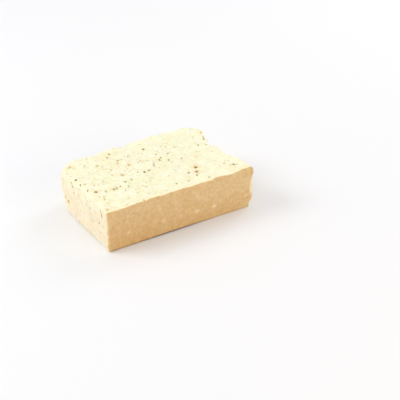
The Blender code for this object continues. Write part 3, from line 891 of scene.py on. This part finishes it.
def edge_drop(point):
    """How far the ragged front edge has crumbled at this place along X."""
    along = Vector((point.x, 0, 0))
    drop = abs(layered(RAGGED_WAVES, along))
    return drop + sum(depth * hump(point.x - x, width) for x, width, depth in EDGE_NICKS)


def relief(point, plain, crease, pores, pore_tree, curds):
    """How far the skin stands out from the plain form at a point."""
    rise = layered(SKIN_LAYERS, point) - crease
    on_torn = ease(plain.x, RIGHT - TORN_BAND, RIGHT)
    if on_torn > 0:
        rise += on_torn * layered(TORN_LAYERS, point)
    edge_reach = math.hypot(plain.y - FRONT, plain.z - TOP)
    rise -= edge_drop(point) * hump(edge_reach, RAGGED_BAND)
    for _, index, distance in pore_tree.find_range(point, PORE_SIGHT):
        pore = pores[index]
        rise -= DISH_SHARE * pore.radius * hump(distance, DISH_REACH * pore.radius)
    if lies_in("front", plain):
        rise += CURD_RISE * curd_strength(curds, point)
    return rise * ease(plain.z, FOOT, FOOT + STEADY_FOOT)


def cut_share(plain):
    """How far a place's colour goes from the skin's to the cut's, whose tan is partly painted
    shade.
    """
    if lies_in("front", plain):
        # The worn right edge is paled as a painted highlight where it turns to the light.
        start, end = [RIGHT - width * worn_round(plain.z) for width in WORN_HIGHLIGHT_STRIP]
        pale = WORN_HIGHLIGHT * ease(plain.z, *WORN_HIGHLIGHT_FROM) * (1 - ease(plain.z, *WORN_HIGHLIGHT_TO))
        share = 1 - pale * ease(plain.x, start, end)
        share *= blend(LEFT_TINT, 1.0, ease(plain.x, LEFT, LEFT + LEFT_BLEND))
        return share * (EDGE_TINT if lies_in("top", plain) else 1.0)
    if lies_in("right", plain) and not lies_in("top", plain):
        # The lip takes the cut's tan as a painted glow.
        on_lip = hump(plain.y - FRONT, LIP_DEPTH) * ease(plain.z, *LIP_FROM)
        return blend(TORN_TINT, 1.0, on_lip)
    return 0.0


def painted_shade_and_glow(plain, crease):
    """How much painted shade and glow a place has: along the top's edge with the cut, in the lip
    and creases.
    """
    if lies_in("top", plain):
        strip = EDGE_SHADE * hump(plain.y - FRONT, EDGE_SHADE_REACH)
        return max(strip, WIDE_EDGE_SHADE * hump(plain.y - FRONT, WIDE_EDGE_SHADE_REACH))
    from_lip = Vector((plain.x - RIGHT, plain.y - FRONT, plain.z - LIP_Z)).length
    return max(LIP_GLOW * hump(from_lip, LIP_GLOW_REACH), crease / CREASE_SHADE_DEPTH)


def contact_shadow_share(plain):
    """How dark the painted contact shadow along the foot is at a place."""
    low = 1 - ease(plain.z, *CONTACT_SHADOW_HEIGHTS)
    if lies_in("front", plain):
        return low * offset_along(CUT_CONTACT_SHADOW, plain.x / MM)
    if lies_in("left", plain):
        return low * offset_along(END_CONTACT_SHADOW, plain.y / MM)
    return 0.0


def tree_of(places):
    """A tree that finds the nearest of some places."""
    tree = kdtree.KDTree(len(places))
    for index, place in enumerate(places):
        tree.insert(place, index)
    tree.balance()
    return tree


def bounds_of(places):
    """The lowest and the highest corner of some places."""
    low = Vector([min(place[axis] for place in places) for axis in range(3)])
    high = Vector([max(place[axis] for place in places) for axis in range(3)])
    return low, high


def make_block(pores, curds):
    """The skin: the lattice carried to the finished form, with its relief.

    Also gives each place's share of the cut, the halo and the painted contact shadow, and the
    bounds of the form without its relief.
    """
    pore_tree = tree_of([pore.middle for pore in pores])
    bm = bmesh.new()
    make_shell(bm)
    plains = [vert.co.copy() for vert in bm.verts]
    outside = bounds_of([solid_form(plain) for plain in plains])
    for vert, plain in zip(bm.verts, plains):
        vert.co = shaped(plain)
    bm.normal_update()
    creases = [crease_depth(vert.co, plain) for vert, plain in zip(bm.verts, plains)]
    moves = [
        vert.normal * relief(vert.co, plain, crease, pores, pore_tree, curds)
        for vert, plain, crease in zip(bm.verts, plains, creases)
    ]
    for vert, move in zip(bm.verts, moves):
        vert.co += move
    skin_tree = tree_of([vert.co for vert in bm.verts])
    shares = [
        (cut_share(plain), painted_shade_and_glow(plain, crease), contact_shadow_share(plain))
        for plain, crease in zip(plains, creases)
    ]
    foot = [face for face in bm.faces if all(lies_in("foot", vert.co) for vert in face.verts)]
    flat = bmesh.ops.dissolve_faces(bm, faces=foot)["region"]
    bmesh.ops.triangulate(bm, faces=flat)
    return add_object("tofu", mesh_of("tofu", bm)), skin_tree, shares, outside


def cut_pores(block, pores):
    """Cut every pore in one step, then remove the cutters."""
    cutters = bpy.data.collections.new("cutters")
    bpy.context.scene.collection.children.link(cutters)
    for pore in pores:
        add_cutter(cutters, pore)
    modifier = block.modifiers.new("pores", "BOOLEAN")
    modifier.operation = "DIFFERENCE"
    modifier.operand_type = "COLLECTION"
    modifier.collection = cutters
    modifier.solver = "MANIFOLD"
    with bpy.context.temp_override(object=block, active_object=block):
        bpy.ops.object.modifier_apply(modifier=modifier.name)
    for cutter in list(cutters.objects):
        mesh = cutter.data
        bpy.data.objects.remove(cutter)
        bpy.data.meshes.remove(mesh)
    bpy.data.collections.remove(cutters)


def shells_of(bm):
    """The separate shells of a mesh, each as a list of its points."""
    unseen = set(bm.verts)
    shells = []
    while unseen:
        front = [unseen.pop()]
        shell = []
        while front:
            vert = front.pop()
            shell.append(vert)
            for edge in vert.link_edges:
                other = edge.other_vert(vert)
                if other in unseen:
                    unseen.remove(other)
                    front.append(other)
        shells.append(shell)
    return shells


def drop_bubbles(block):
    """Remove the closed bubbles that pores leave where they don't reach the skin."""
    bm = bmesh.new()
    bm.from_mesh(block.data)
    shells = sorted(shells_of(bm), key=len)
    bubbles = [vert for shell in shells[:-1] for vert in shell]
    bmesh.ops.delete(bm, geom=bubbles, context="VERTS")
    bm.to_mesh(block.data)
    bm.free()


def paint(block, pores, curds, skin_tree, shares):
    """Give each point its cut, halo and curd shares, and its painted pore and contact shadow."""
    pore_tree = tree_of([pore.middle for pore in pores])
    names = ("cut", "pore", "halo", "curd", "contact_shadow")
    for name in names:
        block.data.attributes.new(name, "FLOAT", "POINT")
    layers = {name: block.data.attributes[name].data for name in names}
    for index, vert in enumerate(block.data.vertices):
        point = vert.co
        cut, halo, contact_shadow = shares[skin_tree.find(point)[1]]
        dark = 0.0
        for _, near, distance in pore_tree.find_range(point, PORE_SIGHT):
            pore = pores[near]
            halo = max(halo, pore.halo * hump(distance, HALO_REACH * pore.radius))
            inside = pore.inverse @ point
            if inside.length < WALL_REACH:
                # painted shade, darker further down the pore's wall
                dark = max(dark, pore.dark * ease(-inside.z, *WALL_SHADE))
        layers["cut"][index].value = cut
        layers["pore"][index].value = dark
        layers["halo"][index].value = halo
        layers["contact_shadow"][index].value = contact_shadow
        if point.y < FRONT + CURD_BAND:
            layers["curd"][index].value = cut * curd_strength(curds, point)


def smooth(block):
    """Smooth shading, with the pores' rims kept crisp."""
    for polygon in block.data.polygons:
        polygon.use_smooth = True
    block.data.set_sharp_from_angle(angle=SMOOTH_BELOW)


def fit_to_node(block, outside):
    """Bring the form to the box of the solid that it stands for, with no relief past the box."""
    low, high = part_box("tofu_block")
    start, end = outside
    scale = Vector([(high[axis] - low[axis]) / (end[axis] - start[axis]) for axis in range(3)])
    grow = Matrix.LocRotScale(None, None, scale)
    block.data.transform(Matrix.Translation(low) @ grow @ Matrix.Translation(-start))
    for vert in block.data.vertices:
        vert.co = [min(max(vert.co[axis], low[axis]), high[axis]) for axis in range(3)]


# ----------------------------------------
# Materials.

class Shading:
    """A material's nodes, with short calls for the ones used here."""

    def __init__(self, name):
        self.material = bpy.data.materials.new(name)
        self.material.use_nodes = True
        self.tree = self.material.node_tree
        coordinates = self.node("ShaderNodeTexCoord", {})
        self.place = coordinates.outputs["Object"]
        self.normal = coordinates.outputs["Normal"]

    def feed(self, node, inputs):
        """Give each named input of a node its value or link."""
        for name, value in inputs.items():
            if isinstance(value, bpy.types.NodeSocket):
                self.tree.links.new(value, node.inputs[name])
            else:
                node.inputs[name].default_value = value

    def node(self, kind, inputs, **settings):
        """A new node with the given inputs and settings."""
        made = self.tree.nodes.new(kind)
        for name, value in settings.items():
            setattr(made, name, value)
        self.feed(made, inputs)
        return made

    def attribute(self, name):
        """A value stored on the mesh."""
        return self.node("ShaderNodeAttribute", {}, attribute_name=name).outputs["Fac"]

    def noise(self, wave, detail, roughness):
        """Even noise of the given wavelength, from 0 to 1."""
        inputs = {"Vector": self.place, "Scale": 1 / wave, "Detail": detail, "Roughness": roughness}
        return self.node("ShaderNodeTexNoise", inputs).outputs["Fac"]

    def ramp(self, value, low, high, to_low=0.0, to_high=1.0):
        """The value, carried smoothly from one range to another and held at its ends."""
        inputs = {"From Min": low, "From Max": high, "To Min": to_low, "To Max": to_high}
        inputs["Value"] = value
        kind = "ShaderNodeMapRange"
        return self.node(kind, inputs, interpolation_type="SMOOTHSTEP").outputs["Result"]

    def fall(self, value, low, high, least=0.0):
        """1 up to the low value, then falling smoothly to the least share at the high one."""
        return self.ramp(value, low, high, 1.0, least)

    def patches(self, wave, detail, roughness, low, high, least=0.0, most=1.0):
        """Noise with its values from low to high spread over the range from least to most."""
        return self.ramp(self.noise(wave, detail, roughness), low, high, least, most)

    def maths(self, operation, first, second):
        """A sum, product or other simple operation."""
        inputs = {0: first, 1: second}
        return self.node("ShaderNodeMath", inputs, operation=operation).outputs["Value"]

    def sum_of(self, values, weights):
        """The sum of some values, each with its weight."""
        terms = [self.maths("MULTIPLY", value, weight) for value, weight in zip(values, weights)]
        total = terms[0]
        for term in terms[1:]:
            total = self.maths("ADD", total, term)
        return total

    def mix(self, share, first, second, blend_type="MIX"):
        """A blend of two colours."""
        inputs = {MIX_SHARE: share, MIX_FIRST: first, MIX_SECOND: second}
        made = self.node("ShaderNodeMix", inputs, data_type="RGBA", blend_type=blend_type)
        return made.outputs[MIX_COLOUR]

    def tint(self, share, colour, by):
        """A colour multiplied by a tint, as far as the share says."""
        return self.mix(share, colour, by, "MULTIPLY")

    def along(self, axis, vector):
        """The part of a vector along an axis."""
        return self.node("ShaderNodeSeparateXYZ", {"Vector": vector}).outputs[axis]


def skin_colour(look, height, specks):
    """The pale skin: clouded and speckled, tinted on the sides and beside the cut, and freckled."""
    clouds = look.patches(*CLOUDS)
    skin = look.mix(look.sum_of((clouds, specks), SKIN_WEIGHTS), SKIN_PALE, SKIN_DEEP)
    side = look.fall(look.along("Z", look.normal), SIDE_FROM, SIDE_TO)
    lowness = look.fall(height, SIDE_LOW, SIDE_HIGH, SIDE_HIGH_SHARE)
    skin = look.tint(look.maths("MULTIPLY", side, lowness), skin, SIDE_TINT)
    beside_cut = look.fall(look.along("Y", look.place), FRONT, FRONT + NEAR_WIDTH)
    skin = look.tint(look.maths("MULTIPLY", side, beside_cut), skin, NEAR_TINT)
    return look.tint(look.patches(*FRECKLES, 0.0, FRECKLE_SHARE), skin, FRECKLE)


def cut_colour(look, height):
    """The tanner cut, partly painted shade: deeper low down and to the left, a fine grain, pale
    curds.
    """
    # painted shade low down and towards the left
    low = look.fall(height, FOOT, CUT_LOW)
    leftward = look.fall(look.along("X", look.place), LEFT, RIGHT)
    deep = look.sum_of((low, leftward, look.patches(*DRIFT)), CUT_WEIGHTS)
    cut = look.tint(look.patches(*GRAINS), look.mix(deep, CUT_PALE, CUT_DEEP), GRAIN)
    return look.mix(look.attribute("curd"), cut, CURD)


def tofu_material():
    """Pressed bean curd: a pale skin, a tanner grained cut, and pores, the last two with painted
    shade.
    """
    look = Shading("firm_tofu")
    height = look.along("Z", look.place)
    specks = look.patches(*SPECKS)
    skin = skin_colour(look, height, specks)
    # the cut's tan, partly painted shade
    colour = look.mix(look.attribute("cut"), skin, cut_colour(look, height))
    # the pores' painted shade
    colour = look.mix(look.attribute("pore"), colour, PORE_SHADE)
    # halos: real stains round pores, and painted shade and glow at the edge, lip and creases
    halo = look.maths("MULTIPLY", look.attribute("halo"), look.patches(*PATCHES, PATCH_LEAST))
    colour = look.tint(halo, colour, HALO)
    bump = look.node("ShaderNodeBump", {
        "Strength": BUMP_STRENGTH,
        "Distance": BUMP_DEPTH,
        "Height": look.sum_of((look.noise(*FINE_GRAIN), specks), BUMP_WEIGHTS),
    })
    look.feed(look.tree.nodes["Principled BSDF"], {
        # the painted contact shadow along the foot
        "Base Color": look.mix(look.attribute("contact_shadow"), colour, CONTACT_SHADOW_COLOUR),
        "Roughness": look.ramp(specks, 0.0, 1.0, *ROUGHNESS),
        "Metallic": 0.0,
        "Subsurface Weight": SUBSURFACE,
        "Subsurface Radius": SUBSURFACE_RADIUS,
        "Subsurface Scale": SUBSURFACE_SCALE,
        "Normal": bump.outputs["Normal"],
    })
    return look.material


def plain_material(name, colour, roughness):
    """One even colour, for the floor."""
    material = bpy.data.materials.new(name)
    material.use_nodes = True
    shader = material.node_tree.nodes["Principled BSDF"]
    shader.inputs["Base Color"].default_value = colour
    shader.inputs["Roughness"].default_value = roughness
    return material


# ----------------------------------------
# The stage.

def make_floor():
    """A plain pale floor just under the block's foot."""
    bm = bmesh.new()
    bmesh.ops.create_grid(bm, x_segments=1, y_segments=1, size=FLOOR_HALF)
    floor = add_object("floor", mesh_of("floor", bm))
    floor.location.z = -FLOOR_DROP
    floor.data.materials.append(plain_material("pale_floor", FLOOR_COLOUR, FLOOR_ROUGHNESS))


def add_light(name, place, size, power, colour):
    """A soft square light that faces the block."""
    light = bpy.data.lights.new(name, "AREA")
    light.shape = "SQUARE"
    light.size = size
    light.energy = power
    light.color = colour
    lamp = add_object(name, light)
    lamp.location = place
    aim = Vector(LIGHT_TARGET) - Vector(place)
    lamp.rotation_euler = aim.to_track_quat("-Z", "Y").to_euler()


def light_scene():
    """Even light all round, a soft key from behind the left end, a warm fill and an edge light."""
    world = bpy.data.worlds.new("studio")
    world.use_nodes = True
    background = world.node_tree.nodes["Background"]
    background.inputs["Color"].default_value = WORLD_COLOUR
    background.inputs["Strength"].default_value = WORLD_STRENGTH
    bpy.context.scene.world = world
    for name, settings in LIGHTS.items():
        add_light(name, *settings)
    view = bpy.context.scene.view_settings
    view.view_transform = "Standard"
    view.look = "None"


def add_camera():
    """The photograph's view."""
    data = bpy.data.cameras.new("camera")
    data.sensor_width = SENSOR
    data.lens = CAMERA_LENS
    camera = add_object("camera", data)
    level = math.cos(CAMERA_ELEVATION)
    away = math.sin(CAMERA_AZIMUTH) * level
    behind = -math.cos(CAMERA_AZIMUTH) * level
    back = Vector((away, behind, math.sin(CAMERA_ELEVATION)))
    right = Vector((math.cos(CAMERA_AZIMUTH), math.sin(CAMERA_AZIMUTH), 0))
    turn = Matrix((right, back.cross(right), back)).transposed()
    camera.matrix_world = Matrix.Translation(CAMERA_PLACE) @ turn.to_4x4()
    bpy.context.scene.camera = camera


# ----------------------------------------

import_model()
noise.seed_set(WAVE_SEED)
add_camera()
light_scene()
make_floor()

pits = all_pores()
pale_curds = all_curds()
tofu, skin_places, colour_shares, form_bounds = make_block(pits, pale_curds)
cut_pores(tofu, pits)
drop_bubbles(tofu)
paint(tofu, pits, pale_curds, skin_places, colour_shares)
fit_to_node(tofu, form_bounds)
smooth(tofu)
tofu.data.materials.clear()
tofu.data.materials.append(tofu_material())
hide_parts("tofu_block")
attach(tofu, "root")
